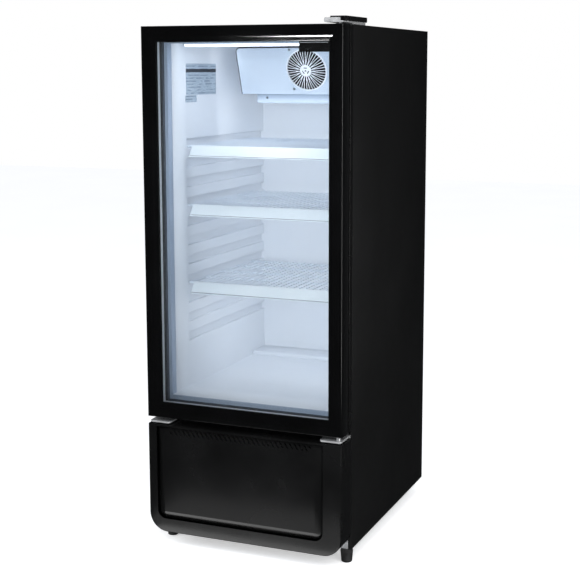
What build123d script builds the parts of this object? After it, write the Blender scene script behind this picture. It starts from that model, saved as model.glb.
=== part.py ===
from build123d import *
from math import atan2, cos, sin, tan
import os

# Upright glass door merchandiser, in millimetres.
# X runs to the right (hinge side), Y to the back, Z up, with the origin on the floor
# under the middle of the cabinet. Depths are counted from the door's front face.

# driving dimensions
width = 620
depth = 790
cabinet_top = 1555
cabinet_base = 45
sheet = 1
door_bottom = 404
door_thickness = 50
gasket_thickness = 9.7
frame_front = 60          # depth of the cabinet's front frame
body_front = 84           # depth where the side panels begin
deck_height = 410         # top of the deck between compartment and cooled space
cavity_half = 258         # half width of the cooled space
cavity_floor = 460
cavity_ceiling = 1508
cavity_back = 742
liner_wall = 3

# door frame section, measured in from the door's edge
stile_face = 29
stile_bevel = 34
bevel_depth = 4
stile_lip = 44
lip_depth = 9
glass_edge = 36           # width of stile outside the glass edge
edge_round = 2
badge_left, badge_right = 176, 264
badge_low, badge_high = 1480, 1509
pane = 4
pane_gap = 16
outer_pane_depth = 10

# hinge
hinge_x = 294
hinge_depth = 20
hinge_pin = 4
hinge_hole = 4.05
hinge_insert = 10.5
bolt_x, bolt_depths = 275, (110, 160)
plate_screw_x = (256, 284)
plate_screw_z = 368
screw_hole = 2.2

# shelves and the grooves that hold them
groove_pitch = 59.5
groove_height = 27
groove_deep = 10
groove_start = 177
groove_count = 11
top_ledge = 1198
shelf_steps = {"upper": 0, "middle": 3, "lower": 7}
shelf_front = 182
shelf_back = 645
shelf_half = 264
wire_pitch = 21
rail_half = 240

# front panel over the machine compartment
kick_bottom = 48
kick_top = 382
kick_radius = 58
kick_wall = 3
insert_left, insert_right = -279, 250
insert_low, insert_high = 93, 373

# evaporator cover and its sloping face
cover_left, cover_right = -185, 257
cover_top_depth, cover_low_depth = 368, 418
cover_low = 1356
cover_high = 1507
cover_wall = 2
face_depth = (cover_top_depth + cover_low_depth) / 2
face_height = (cover_high + cover_low) / 2
face_tilt = atan2(cover_low_depth - cover_top_depth, cover_high - cover_low)
fan_x, knob_x, rocker_x = 45, 208, 150
guard_radius = 67
cover_screws = [(-5, 64), (-5, -62), (236, 64), (236, -62)]   # (x, distance up the slope)

# drain of the melt water, and the suction tube's passage
drain_x, drain_depth, drain_z = -125, 765, 1341
drain_outer = 6
drain_clear = 6.3
passage_x, passage_depth = 105, 720

# levelling feet
foot_ends = {"front": (288, 106), "rear": (225, 750)}     # (distance from the middle, depth)
foot_radius = 19
stud_radius = 5
stud_hole = 5.05

# machine compartment
pan_flange = 25
compressor_at = (120, 600)
condenser_fan_at = (-100, 200)
condenser_fan_radius = 100
grille_depth = 786

running = 0.05            # radial clearance of a shaft in its hole
slip = 0.5                # gap beside a loosely fitted piece

front = -depth / 2
half = width / 2


def box(x0, x1, d0, d1, z0, z1):
    """A block between two X, two depths behind the door's face, and two heights."""
    middle = Pos((x0 + x1) / 2, front + (d0 + d1) / 2, (z0 + z1) / 2)
    return middle * Box(x1 - x0, d1 - d0, z1 - z0)


def rod_x(radius, x0, x1, d, z):
    turn = Rot(0, 90, 0)
    return Pos((x0 + x1) / 2, front + d, z) * turn * Cylinder(radius, x1 - x0)


def rod_y(radius, x, d0, d1, z):
    turn = Rot(90, 0, 0)
    return Pos(x, front + (d0 + d1) / 2, z) * turn * Cylinder(radius, d1 - d0)


def rod_z(radius, x, d, z0, z1):
    return Pos(x, front + d, (z0 + z1) / 2) * Cylinder(radius, z1 - z0)


def side_profile(points, x0, x1):
    """Extrudes an outline of (depth, height) points from x0 to x1."""
    outline = [(front + d, z) for d, z in points]
    face = Plane.YZ.offset(x0) * make_face(Polyline(*outline, close=True))
    return extrude(face, x1 - x0)


def front_profile(sketch, d0, d1):
    """Extrudes a sketch drawn in X and Z from one depth back to another."""
    plane = Plane(origin=(0, front + d1, 0), x_dir=(1, 0, 0), z_dir=(0, -1, 0))
    return extrude(plane * sketch, d1 - d0)


def tube(points, outer, inner, bend):
    """A round tube along straight runs joined by arcs; points are (x, depth, z)."""
    path = FilletPolyline(*[(x, front + d, z) for x, d, z in points], radius=bend)
    start = Plane(origin=path @ 0, z_dir=path % 0)
    solid = sweep(start * Circle(outer), path=path)
    if inner:
        solid -= sweep(start * Circle(inner), path=path)
    return solid


def fuse(pieces):
    whole = pieces[0]
    return whole + pieces[1:] if len(pieces) > 1 else whole


def group(pieces):
    solids = [s for piece in pieces for s in piece.solids()]
    return Compound(children=solids)


def slope(x, up=0):
    """Places a shape on the cover's sloping face: local Z points out of it."""
    d = face_depth - up * sin(face_tilt)
    z = face_height + up * cos(face_tilt)
    outward = (0, -cos(face_tilt), -sin(face_tilt))
    return Plane(origin=(x, front + d, z), x_dir=(1, 0, 0), z_dir=outward).location


# cabinet shell

def cabinet_sheets():
    top, base, back = cabinet_top, cabinet_base, depth
    sides = {}
    for name, sign in (("left", -1), ("right", 1)):
        outer, inner, hem = sign * half, sign * (half - sheet), sign * (half - 10)
        skin = box(min(outer, inner), max(outer, inner), body_front, back, base, top)
        lip = box(min(hem, inner), max(hem, inner), body_front, body_front + sheet, base, top)
        sides["side_panel_" + name] = skin + lip
    inside = half - sheet
    cap = box(-inside, inside, body_front + sheet, back, top - sheet, top)
    lip = box(-inside + 9, inside - 9, body_front, body_front + sheet, top - 10, top)
    rear = box(-inside, inside, back - sheet, back, deck_height, top - sheet)
    deck = box(-inside, inside, body_front + sheet, back - sheet, deck_height - sheet, deck_height)
    apron = box(-inside, inside, body_front + sheet, body_front + 3, 350, deck_height - sheet)
    deck = deck + apron - rod_z(7, drain_x, drain_depth, 300, 450)
    for x in (-passage_x, passage_x):
        deck -= rod_z(6, x, passage_depth, 300, 450)
    return sides | {"top_panel": cap + lip, "back_panel": rear, "compartment_deck": deck}


def base_pan():
    inside = half - sheet
    low, floor_top = cabinet_base, cabinet_base + 2
    first, last = body_front + sheet, depth - sheet
    high = floor_top + pan_flange
    pan = box(-inside, inside, first, last, low, high)
    pan -= box(-inside + 2, inside - 2, first + 2, last - 2, floor_top, high + 1)
    for x, d in foot_places().values():
        pan -= rod_z(stud_hole, x, d, low - 1, high)
    return {"base_pan": pan}


def foot_places():
    return {
        end + "_" + side: (sign * out, d)
        for end, (out, d) in foot_ends.items()
        for side, sign in (("left", -1), ("right", 1))
    }


def levelling_feet():
    feet = {}
    for name, (x, d) in foot_places().items():
        spot = Pos(x, front + d, 0)
        pad = spot * extrude(Circle(foot_radius - 3), 3)
        pad += spot * Pos(0, 0, 3) * Cone(foot_radius - 3, foot_radius, 33, align=(
            Align.CENTER, Align.CENTER, Align.MIN))
        pad += rod_z(foot_radius - 2, x, d, 36, cabinet_base)
        feet["foot_" + name] = pad + rod_z(stud_radius, x, d, cabinet_base, 85)
    return feet


def groove_heights():
    return [top_ledge - groove_pitch * step for step in range(groove_count)]


def cavity(grow):
    """The cooled space with its shelf grooves, grown outwards by a wall."""
    side = cavity_half + grow
    room = box(-side, side, frame_front, cavity_back + grow, cavity_floor - grow, cavity_ceiling + grow)
    channels = []
    for ledge in groove_heights():
        for sign in (-1, 1):
            inner, outer = sign * (side - 1), sign * (side + groove_deep)
            channels.append(box(min(inner, outer), max(inner, outer), groove_start - grow,
                                cavity_back + grow, ledge - grow, ledge + groove_height + grow))
    return room + channels


def insulated_box():
    drain = drain_path(drain_clear)
    shell = cavity(liner_wall)
    foam = box(-half + sheet, half - sheet, body_front + sheet, depth - sheet,
               deck_height, cabinet_top - sheet)
    foam -= shell
    foam -= drain
    for x in (-passage_x, passage_x):
        foam -= rod_z(6, x, passage_depth, 300, cavity_floor)
    liner = shell - cavity(0)
    liner -= drain
    step = box(-cavity_half, cavity_half, 640, cavity_back, cavity_floor, cavity_floor + 12)
    inner, low, high = cavity_half + liner_wall, cavity_floor - liner_wall, cavity_ceiling + liner_wall
    ring = box(-half, half, frame_front, body_front, door_bottom, cabinet_top)
    ring -= box(-inner, inner, frame_front - 1, body_front + 1, low, high)
    return {"insulation_foam": foam, "inner_liner": liner + step, "front_frame": ring}


# door

def stile_section():
    """Outline across a stile: (distance in from the door's edge, depth)."""
    seat_back = outer_pane_depth + 2 * pane + pane_gap
    return [(0, edge_round), (edge_round, 0), (stile_face, 0), (stile_bevel, bevel_depth),
            (stile_lip, lip_depth), (stile_lip, outer_pane_depth),
            (glass_edge, outer_pane_depth), (glass_edge, seat_back), (stile_lip, seat_back),
            (stile_lip, door_thickness - 4), (stile_lip - 4, door_thickness), (0, door_thickness)]


def door_frame():
    low, high = door_bottom, cabinet_top
    section = stile_section()
    length = high - low
    outline = [(-half + a, front + d) for a, d in section]
    left = Pos(0, 0, low) * extrude(make_face(Polyline(*outline, close=True)), length)
    right = mirror(left, about=Plane.YZ)
    bottom = side_profile([(d, low + a) for a, d in section], -half, half)
    top = side_profile([(d, high - a) for a, d in section], -half, half)
    reach = 60
    corners = []
    for x, sx in ((-half, 1), (half, -1)):
        for z, sz in ((low, 1), (high, -1)):
            points = [(x, z), (x + sx * reach, z + sz * reach), (x, z + sz * reach)]
            wedge = make_face(Polyline(*points, close=True))
            corners.append(front_profile(wedge, -1, door_thickness + 1))
    middle = box(-half, half, -1, door_thickness + 1, low + reach, high - reach)
    upright = fuse([middle] + corners)
    left, right = left & upright, right & upright
    bottom, top = bottom - corners, top - corners
    for z0, z1 in ((low - 1, low + hinge_insert + 0.5), (high - hinge_insert - 0.5, high + 1)):
        hole = rod_z(hinge_hole, hinge_x, hinge_depth, z0, z1)
        bottom -= hole
        top -= hole
    return {"door_stile_left": left, "door_stile_right": right,
            "door_rail_top": top, "door_rail_bottom": bottom}


def rectangle_ring(outer, inner, d0, d1):
    """A flat ring in the door, set in from its edge by outer and inner."""
    low, high = door_bottom, cabinet_top
    ring = box(-half + outer, half - outer, d0, d1, low + outer, high - outer)
    return ring - box(-half + inner, half - inner, d0 - 1, d1 + 1, low + inner, high - inner)


def glazing():
    edge = glass_edge + 1.5
    first = outer_pane_depth
    gap = first + pane
    second = gap + pane_gap
    whole = (-half + edge, half - edge)
    span = (door_bottom + edge, cabinet_top - edge)
    spacer = rectangle_ring(edge + 1, stile_lip + 1, gap, second)
    badge = box(badge_left, badge_right, gap, gap + 0.6, badge_low, badge_high)
    return {"glass_outer": box(*whole, first, gap, *span),
            "glass_inner": box(*whole, second, second + pane, *span),
            "glass_spacer": spacer, "badge_plate": badge}


def door_gasket():
    ring = rectangle_ring(24, 42, door_thickness, door_thickness + gasket_thickness)
    back = door_thickness + gasket_thickness
    hollow = rectangle_ring(28, 38, door_thickness + 2.5, back - 2)
    return {"door_gasket": ring - hollow}


# hinges

def hinges():
    over = 4              # air between the door's top and the bracket
    low = cabinet_top + over
    lip = box(253, 300, 4, 8, low, low + 13)
    lip = fillet(lip.edges().filter_by(Axis.Y).group_by(Axis.X)[0], 5)
    leaf = lip + box(257, 308, 4, body_front, low, low + 4)
    leaf += box(257, 308, body_front, 185, cabinet_top, low + 4)
    leaf += rod_z(hinge_pin, hinge_x, hinge_depth, cabinet_top - hinge_insert, low + 1)
    for d in bolt_depths:
        leaf -= rod_z(3.2, bolt_x, d, cabinet_top - 1, low + 10)
    cover = box(262, half, 26, 195, low + 4, low + 18)
    cover -= box(264, half - 2, 28, 193, low + 3, low + 16)
    plate_low, plate_high = 386, 391
    plate = box(240, 306, 6, body_front, plate_low, plate_high)
    plate += box(240, 306, 80, body_front, 358, plate_high)
    plate = fillet(plate.edges().filter_by(Axis.Z).group_by(Axis.Y)[0], 8)
    right = plate + rod_z(7, hinge_x, hinge_depth, plate_high - 1, door_bottom - 1)
    right += rod_z(hinge_pin, hinge_x, hinge_depth, plate_high, door_bottom + hinge_insert)
    spare = mirror(plate, about=Plane.YZ)
    spare -= rod_z(hinge_hole, -hinge_x, hinge_depth, plate_low - 1, plate_high + 1)
    for x in plate_screw_x:
        right -= rod_y(screw_hole, x, 60, 90, plate_screw_z)
        spare -= rod_y(screw_hole, -x, 60, 90, plate_screw_z)
    return {"top_hinge_bracket": leaf, "top_hinge_cover": cover,
            "bottom_hinge_plate": right, "spare_hinge_plate": spare}


# front panel

def rounded_panel(x0, x1, z0, z1, radius):
    """Outline with both lower corners rounded."""
    points = [(x0, z1), (x0, z0 + radius), (x0 + radius, z0), (x1 - radius, z0),
              (x1, z0 + radius), (x1, z1)]
    first = Line(points[0], points[1])
    left = RadiusArc(points[1], points[2], -radius)
    low = Line(points[2], points[3])
    right = RadiusArc(points[3], points[4], -radius)
    last = Line(points[4], points[5])
    lid = Line(points[5], points[0])
    return make_face([first, left, low, right, last, lid])


def kick_panel():
    outer = rounded_panel(-half, half, kick_bottom, kick_top, kick_radius)
    wall = kick_wall
    inner = rounded_panel(-half + wall, half - wall, kick_bottom + wall, kick_top - wall,
                          kick_radius - wall)
    frame = front_profile(outer, 0, body_front) - front_profile(inner, wall, body_front + 1)
    gap = 3
    frame -= box(insert_left - gap, insert_right + gap, -1, wall + 1,
                 insert_low - gap, insert_high + gap)
    for sign in (-1, 1):
        frame -= box(min(sign * 238, sign * 307), max(sign * 238, sign * 307), 79, 85, 370, kick_top + 1)
    border, rise, back = 20, 8, 9
    outline = Plane(origin=((insert_left + insert_right) / 2, front + back, (insert_low + insert_high) / 2),
                    x_dir=(1, 0, 0), z_dir=(0, -1, 0))
    across, tall = insert_right - insert_left, insert_high - insert_low
    wide_face = outline * Rectangle(across, tall)
    narrow_face = outline.offset(rise) * Rectangle(across - 2 * border, tall - 2 * border)
    pillow = loft([wide_face, narrow_face])
    shell = pillow - Pos(0, 3, 0) * pillow
    shell -= box(insert_left, insert_right, back - 0.01, back + 4, insert_low, insert_high)
    count, pitch, first = 30, 15, -232
    slots = []
    for row, z in enumerate((358, 366)):
        for i in range(count):
            slot = Pos(first + i * pitch + row * pitch / 2, front + 8, z)
            slots.append(slot * Rot(0, 35, 0) * Box(9, 20, 3))
    shell -= slots
    for x in (-200, 170):
        shell += box(x - 12, x + 12, 4, 34, 330, 333)
    return {"kick_frame": frame, "kick_insert": shell}


# cold air unit

def drain_path(outer, inner=0):
    points = [(drain_x, 690, drain_z), (drain_x, drain_depth, drain_z), (drain_x, drain_depth, 100)]
    return tube(points, outer, inner, 15)


def evaporator_cover():
    rear = cavity_back - slip
    wall = cover_wall
    outline = [(cover_top_depth, cover_high), (cover_low_depth, cover_low),
               (rear, cover_low), (rear, cover_high)]
    cover = side_profile(outline, cover_left, cover_right)
    lean = wall / cos(face_tilt)
    inside = [(face_depth - (z - face_height) * tan(face_tilt) + lean, z)
              for z in (cover_high + 1, cover_low + wall)]
    hollow = inside + [(rear + 1, cover_low + wall), (rear + 1, cover_high + 1)]
    cover -= side_profile(hollow, cover_left + wall, cover_right + 1)
    cover -= slope(fan_x) * Cylinder(guard_radius - 8, 30)
    cover -= slope(knob_x) * Cylinder(6, 30)
    cover -= slope(rocker_x) * Box(14, 22, 30)
    for x, up in cover_screws:
        cover -= slope(x, up) * Cylinder(2.2, 20)
    for i in range(12):
        x = cover_left + 50 + 28 * i
        cover -= box(x, x + 14, 640, 700, cover_low - 1, cover_low + wall + 1)
    return {"evaporator_cover": cover}


def fan_guard():
    rim, raised, hub = 3, 6, 18
    guard = extrude(Circle(guard_radius), rim) + extrude(Circle(guard_radius - 5), raised)
    guard += extrude(Circle(hub), raised + 3)
    guard -= Pos(0, 0, -0.5) * extrude(Circle(guard_radius - 8), raised - 2.5)
    slots = []
    for i in range(21):
        long_turn, short_turn = Rot(0, 0, i * 360 / 21), Rot(0, 0, (i + 0.5) * 360 / 21)
        slots.append(long_turn * Pos(39, 0, 5) * Box(36, 3, 20))
        slots.append(short_turn * Pos(48, 0, 5) * Box(18, 3, 20))
    guard -= slots
    return {"fan_guard": slope(fan_x) * guard}


def fan_rotor(blade_count, hub, tip, chord, low, high, shaft):
    """A fan about local Z: a hub cup bored for its shaft, and pitched blades."""
    middle, tall = (low + high) / 2, high - low
    rotor = Pos(0, 0, middle) * Cylinder(hub, tall)
    blades = []
    for i in range(blade_count):
        blade = Pos((hub + tip) / 2, 0, middle) * Rot(32, 0, 0) * Box(tip - hub + 4, chord, 1.6)
        blades.append(Rot(0, 0, i * 360 / blade_count) * blade)
    rotor += blades
    return rotor - Pos(0, 0, low + (tall - 3) / 2) * Cylinder(shaft + running, tall - 3)


def evaporator_fan():
    motor = Pos(0, 0, -52) * Cylinder(26, 40) + Pos(0, 0, -22.5) * Cylinder(2.5, 23)
    for i in range(3):
        turn = Rot(0, 0, 120 * i + 90)
        motor += turn * Pos(41.5, 0, -34) * Box(53, 8, 3)
        motor += turn * Pos(65.5, 0, -18.75) * Box(5, 8, 33.5)
    spot = slope(fan_x)
    rotor = fan_rotor(5, 16, 50, 24, -25, -7, 2.5)
    return {"evaporator_fan_motor": spot * motor, "evaporator_fan": spot * rotor}


def cover_controls():
    """Thermostat with its dial, and the lamp's rocker switch, both on the sloping face."""
    body = Pos(0, 0, -18) * Box(34, 40, 32) + Pos(0, 0, 3) * Cylinder(3, 11)
    knob = Pos(0, 0, 6.5) * Cylinder(14, 11) - Pos(0, 0, 4.2) * Cylinder(3 + running, 9)
    knob += Pos(0, 10, 13) * Box(2, 6, 3)
    bezel = Pos(0, 0, 1) * Box(18, 26, 2) + Pos(0, 0, -9) * Box(13.6, 21.6, 20)
    bezel -= Pos(0, 0, 2) * Box(10, 18, 24)
    rocker = Rot(0, 90, 0) * Cylinder(3, 9) + Pos(0, 0, 1.5) * Box(9, 15, 4)
    rocker = Pos(0, 0, 1) * Rot(-8, 0, 0) * rocker
    return {"thermostat_body": slope(knob_x) * body, "thermostat_knob": slope(knob_x) * knob,
            "switch_body": slope(rocker_x) * bezel, "light_rocker": slope(rocker_x) * rocker}


def evaporator_coil():
    first, last, low, high = 500, 620, 1368, 1492
    coil = box(-150, 230, first, last, low, high)
    fins = [box(x, x + 9, first - 1, last + 1, low + 8, high + 1) for x in range(-144, 224, 14)]
    coil -= [fin & box(-150, 230, first - 1, first + 25, low, high + 1) for fin in fins]
    for z in range(1385, 1480, 30):
        for d in (530, 590):
            coil += rod_x(4.5, -158, 238, d, z)
    return {"evaporator_coil": coil}


def drip_tray():
    left, right, first, last, low = -149, 245, 450, cavity_back - slip, 1327
    tray = box(left, right, first, last, low, cover_low)
    tray -= box(left + 2, right - 2, first + 2, last - 2, low + 2, cover_low + 1)
    tray -= rod_y(drain_clear, drain_x, 730, 750, drain_z)
    drain = drain_path(drain_outer, 4.5)
    return {"drip_tray": tray, "drain_tube": drain}


def ceiling_light():
    top = cavity_ceiling
    housing = side_profile([(96, top), (98, top - 3), (148, top - 3), (150, top)], -226, 226)
    lens = side_profile([(100, top - 3), (104, top - 9), (142, top - 9), (146, top - 3)], -222, 222)
    tilt = 12
    for sign in (-1, 1):
        cut = Pos(sign * 240, front + 123, top - 12) * Rot(0, sign * tilt, 0) * Box(30, 80, 40)
        housing -= cut
        lens -= cut
    return {"light_housing": housing, "light_diffuser": lens}


# shelves

def wire_shelf(ledge):
    """Fine wires run front to back over five cross wires that sit in the side grooves."""
    cross_radius, fine_radius = 3, 1.8
    low = ledge + cross_radius
    high = low + cross_radius + fine_radius - 0.8
    cross = [rod_x(cross_radius, -shelf_half, shelf_half, d, low)
             for d in (shelf_front + 6, 300, 415, 530, shelf_back - 6)]
    count = int(2 * (shelf_half - 8) / wire_pitch) + 1
    first = -wire_pitch * (count - 1) / 2
    fine = [rod_y(fine_radius, first + i * wire_pitch, shelf_front, shelf_back, high) for i in range(count)]
    return cross[0] + cross[1:] + fine


def ticket_rail(ledge):
    top = ledge + 8
    outline = [(shelf_front - 4, top), (shelf_front - 27, top - 31), (shelf_front - 28.5, top - 30),
               (shelf_front - 31, top - 33), (shelf_front - 27, top - 34), (shelf_front - 3, top - 3),
               (shelf_front - 0.3, top - 3), (shelf_front - 0.3, top)]
    return side_profile(outline, -rail_half, rail_half)


def shelves():
    pieces = {}
    shelf = wire_shelf(top_ledge)
    rail = ticket_rail(top_ledge)
    for name, step in shelf_steps.items():
        drop = Pos(0, 0, -groove_pitch * step)
        pieces["shelf_" + name] = drop * shelf
        pieces["ticket_rail_" + name] = drop * rail
    return pieces


# machine compartment

def compressor():
    x, d = compressor_at
    low = cabinet_base + 2
    shell = rod_z(78, x, d, low + 22, low + 170)
    shell = fillet(shell.edges().group_by(Axis.Z)[-1], 40)
    shell = fillet(shell.edges().group_by(Axis.Z)[0], 25)
    feet = box(x - 100, x + 100, d - 60, d + 60, low + 18, low + 24)
    for dx in (-85, 85):
        for dd in (-45, 45):
            feet -= rod_z(5, x + dx, d + dd, low, low + 40)
            feet += rod_z(11, x + dx, d + dd, low, low + 18) - rod_z(5, x + dx, d + dd, low - 1, low + 20)
    terminal = box(x + 78.5, x + 110, d - 30, d + 30, low + 60, low + 120)
    return {"compressor": group([shell + feet, terminal])}


def condenser():
    x, d = condenser_fan_at
    low, high = 60, 330
    coil = box(x - 150, x + 150, 118, 168, low + 12, high)
    coil -= [box(fin, fin + 6, 100, 130, low + 20, high - 8) for fin in range(x - 142, x + 136, 14)]
    base = box(x - 150, x + 150, 100, 172, cabinet_base + 2, low + 12)
    middle = (low + 12 + high) / 2
    radius = condenser_fan_radius
    shroud = box(x - 150, x + 150, 169, 171, low + 12.5, high) - rod_y(radius + 6, x, 160, 180, middle)
    shroud += rod_y(radius + 8, x, 171, 205, middle) - rod_y(radius + 6, x, 160, 210, middle)
    motor = rod_y(36, x, 226, 280, middle) + rod_y(4, x, 204, 226, middle)
    motor += box(x - 145, x + 145, 226, 229, middle - 10, middle + 10) - rod_y(30, x, 225, 230, middle)
    for sign in (-1, 1):
        edge = x + sign * 142.5
        motor += box(edge - 2.5, edge + 2.5, 171, 229, middle - 10, middle + 10)
    place = Pos(x, front + 212, middle) * Rot(90, 0, 0)
    rotor = place * fan_rotor(5, 32, radius, 48, -8, 12, 4)
    return {"condenser_coil": coil + base, "condenser_shroud": shroud,
            "condenser_fan_motor": motor, "condenser_fan": rotor}


def refrigerant_circuit():
    x, d = compressor_at
    drier = rod_y(12, -200, 420, 520, 120)
    suction = tube([(passage_x, passage_depth, 405), (passage_x, passage_depth, 330),
                    (passage_x, 700, 250), (x, 610, 250), (x, 610, 219)], 4, 3, 12)
    discharge = tube([(x - 79, d, 160), (0, d, 160), (0, 400, 200), (36, 300, 250), (36, 172, 250)],
                     4, 3, 12)
    liquid = tube([(-200, 420, 120), (-200, 380, 120), (-200, 330, 90), (-180, 300, 66), (-180, 173, 66)],
                  3, 2, 10)
    pan = box(-208, -30, 620, 785, 49, 88) - box(-206, -32, 622, 783, 51, 90)
    return {"filter_drier": drier, "refrigerant_tubes": group([suction, discharge, liquid]),
            "condensate_pan": pan}


def rear_grille():
    inside = half - 6
    low, high = cabinet_base + pan_flange + 4, deck_height - 4
    grille = box(-inside, inside, grille_depth, grille_depth + 1.2, low, high)
    for column in range(4):
        for row in range(14):
            x = -225 + column * 130
            z = low + 90 + row * 16
            grille -= box(x, x + 110, grille_depth - 1, grille_depth + 3, z, z + 6)
    grille -= rod_y(12, 250, grille_depth - 1, grille_depth + 3, low + 40)
    gland = rod_y(11.8, 250, grille_depth - 12, depth, low + 40)
    gland += rod_y(16, 250, grille_depth + 1.2, depth, low + 40)
    gland += rod_y(15, 250, grille_depth - 6, grille_depth - 1, low + 40)
    gland -= rod_y(4, 250, grille_depth - 20, depth + 1, low + 40)
    return {"rear_grille": grille, "cord_inlet": gland}


# small pieces

def labels():
    wall = -cavity_half
    big = box(wall, wall + 0.5, 176, 378, 1356, 1450)
    small = box(wall, wall + 0.5, 170, 244, 1334, 1355)
    return {"rating_label": group([big, small])}


def screws():
    head = Pos(0, 0, 1.2) * Cylinder(4, 2.4) + Pos(0, 0, -4) * Cylinder(2, 8)
    head = fillet(head.edges().group_by(Axis.Z)[-1], 1.2)
    head -= Pos(0, 0, 2.4) * Box(4, 0.9, 1.6) + Pos(0, 0, 2.4) * Box(0.9, 4, 1.6)
    cover = [slope(x, up) * head for x, up in cover_screws]
    plates = []
    for x in plate_screw_x:
        for sign in (-1, 1):
            plates.append(Pos(sign * x, front + 80, plate_screw_z) * Rot(90, 0, 0) * head)
    return {"pan_head_screws": group(cover + plates)}


def hinge_bolts():
    bolt = Cylinder(3, 14, align=(Align.CENTER, Align.CENTER, Align.MAX))
    bolt += extrude(RegularPolygon(5.2, 6), 4)
    low = cabinet_top + 8
    return {"hinge_bolts": group([Pos(bolt_x, front + d, low) * bolt for d in bolt_depths])}


def main():
    os.makedirs("parts", exist_ok=True)
    pieces = {}
    for build in (cabinet_sheets, base_pan, levelling_feet, insulated_box, door_frame, glazing,
                  door_gasket, hinges, kick_panel, evaporator_cover, fan_guard, evaporator_fan,
                  cover_controls, evaporator_coil, drip_tray, ceiling_light, shelves, compressor,
                  condenser, refrigerant_circuit, rear_grille, labels, screws, hinge_bolts):
        pieces |= build()
    bolt_holes = [rod_z(3.3, bolt_x, d, cabinet_top - 25, cabinet_top + 5) for d in bolt_depths]
    pieces["insulation_foam"] -= bolt_holes
    pieces["top_panel"] -= bolt_holes
    pieces["compartment_deck"] -= [rod_y(screw_hole, sign * x, 80, 95, plate_screw_z)
                                   for x in plate_screw_x for sign in (-1, 1)]
    for name, shape in pieces.items():
        export_step(shape, f"parts/{name}.step")
    print(len(pieces), "pieces written")


main()
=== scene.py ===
from math import atan2, cos, pi, radians, sin, tan
import bpy
import bmesh
from mathutils import Matrix, Vector


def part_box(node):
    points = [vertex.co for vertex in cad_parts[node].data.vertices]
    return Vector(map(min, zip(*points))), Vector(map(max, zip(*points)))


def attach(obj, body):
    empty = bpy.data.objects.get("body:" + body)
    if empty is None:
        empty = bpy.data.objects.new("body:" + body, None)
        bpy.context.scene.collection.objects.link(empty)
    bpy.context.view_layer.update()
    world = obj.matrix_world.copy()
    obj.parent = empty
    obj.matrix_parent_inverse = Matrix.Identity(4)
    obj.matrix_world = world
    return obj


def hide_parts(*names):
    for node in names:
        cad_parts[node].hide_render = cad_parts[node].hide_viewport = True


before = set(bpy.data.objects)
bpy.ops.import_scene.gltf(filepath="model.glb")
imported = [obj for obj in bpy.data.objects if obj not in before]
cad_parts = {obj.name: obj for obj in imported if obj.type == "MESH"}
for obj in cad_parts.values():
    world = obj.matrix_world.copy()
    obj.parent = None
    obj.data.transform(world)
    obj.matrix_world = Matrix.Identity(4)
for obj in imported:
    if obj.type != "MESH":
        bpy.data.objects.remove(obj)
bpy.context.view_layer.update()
print("frame loaded")

# Shapes are drawn in millimetres: x to the right, depth back from the door's face, z up.
mm = 0.001
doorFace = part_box("door_stile_left")[0].y
toFrame = Matrix.Translation((0, doorFace, 0)) @ Matrix.Scale(mm, 4)


def nodeBox(node):  # a CAD node's two corners in millimetres
    return [(corner - Vector((0, doorFace, 0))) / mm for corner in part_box(node)]


# shader sockets that can be added and multiplied

class Wire:
    def __init__(self, tree, socket=None):
        self.tree = tree
        self.socket = socket

    def node(self, kind, settings=None, inputs=None, output=0):
        made = self.tree.nodes.new("ShaderNode" + kind)
        for key, value in (settings or {}).items():
            if key == "stops":
                elements = made.color_ramp.elements
                while len(elements) < len(value):
                    elements.new(1)
                for element, (position, colour) in zip(elements, value):
                    element.position = position
                    element.color = colour
            else:
                setattr(made, key, value)
        for key, value in (inputs or {}).items():
            if isinstance(value, Wire):
                self.tree.links.new(value.socket, made.inputs[key])
            else:
                made.inputs[key].default_value = value
        return Wire(self.tree, made.outputs[output] if made.outputs else None)

    def sum(self, operation, first, second):
        return self.node("Math", {"operation": operation}, {0: first, 1: second})

    def __add__(self, other):
        return self.sum("ADD", self, other)

    __radd__ = __add__

    def __sub__(self, other):
        return self.sum("SUBTRACT", self, other)

    def __rsub__(self, other):
        return self.sum("SUBTRACT", other, self)

    def __mul__(self, other):
        return self.sum("MULTIPLY", self, other)

    __rmul__ = __mul__

    def __gt__(self, other):
        return self.sum("GREATER_THAN", self, other)

    def __lt__(self, other):
        return self.sum("LESS_THAN", self, other)


def newMaterial(name):
    made = bpy.data.materials.new(name)
    made.use_nodes = True
    made.node_tree.nodes.clear()
    return made, Wire(made.node_tree)


def spotOn(start, stretch=(1, 1, 1)):  # object coordinates, stretched
    spot = start.node("TexCoord", output="Object")
    return start.node("Mapping", {}, {"Vector": spot, "Scale": stretch})


def noise(start, scale, detail=3, stretch=(1, 1, 1), rough=0.5):
    inputs = {"Vector": spotOn(start, stretch), "Scale": scale, "Detail": detail, "Roughness": rough}
    return start.node("TexNoise", {}, inputs)


def spread(start, value, low, high, first=0.0, last=1.0):
    inputs = {"Value": value, "From Min": low, "From Max": high, "To Min": first, "To Max": last}
    return start.node("MapRange", {}, inputs)


def mixColour(start, share, first, second):
    return start.node("Mix", {"data_type": "RGBA"}, {0: share, 6: first, 7: second}, output=2)


def tone(value, tint=(1, 1, 1)):  # a grey with a slight tint
    return (value * tint[0], value * tint[1], value * tint[2], 1)


def patches(start, share, first, last):  # one colour drifting into another
    return mixColour(start, spread(start, share, 0.3, 0.7), first, last)


def roughness(start, look, share):
    return spread(start, share, 0.3, 0.7, *look["rough"])


def coat(start, look, colour, rough, height):
    normal = start.node("Bump", {}, {"Strength": look["bump"], "Distance": look["relief"] * mm,
                                     "Height": height})
    inputs = {"Base Color": colour, "Roughness": rough, "Normal": normal,
              "Metallic": look.get("metal", 0.0), "Specular IOR Level": look.get("shine", 0.5)}
    shader = start.node("BsdfPrincipled", {}, inputs)
    start.node("OutputMaterial", {}, {"Surface": shader})


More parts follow.
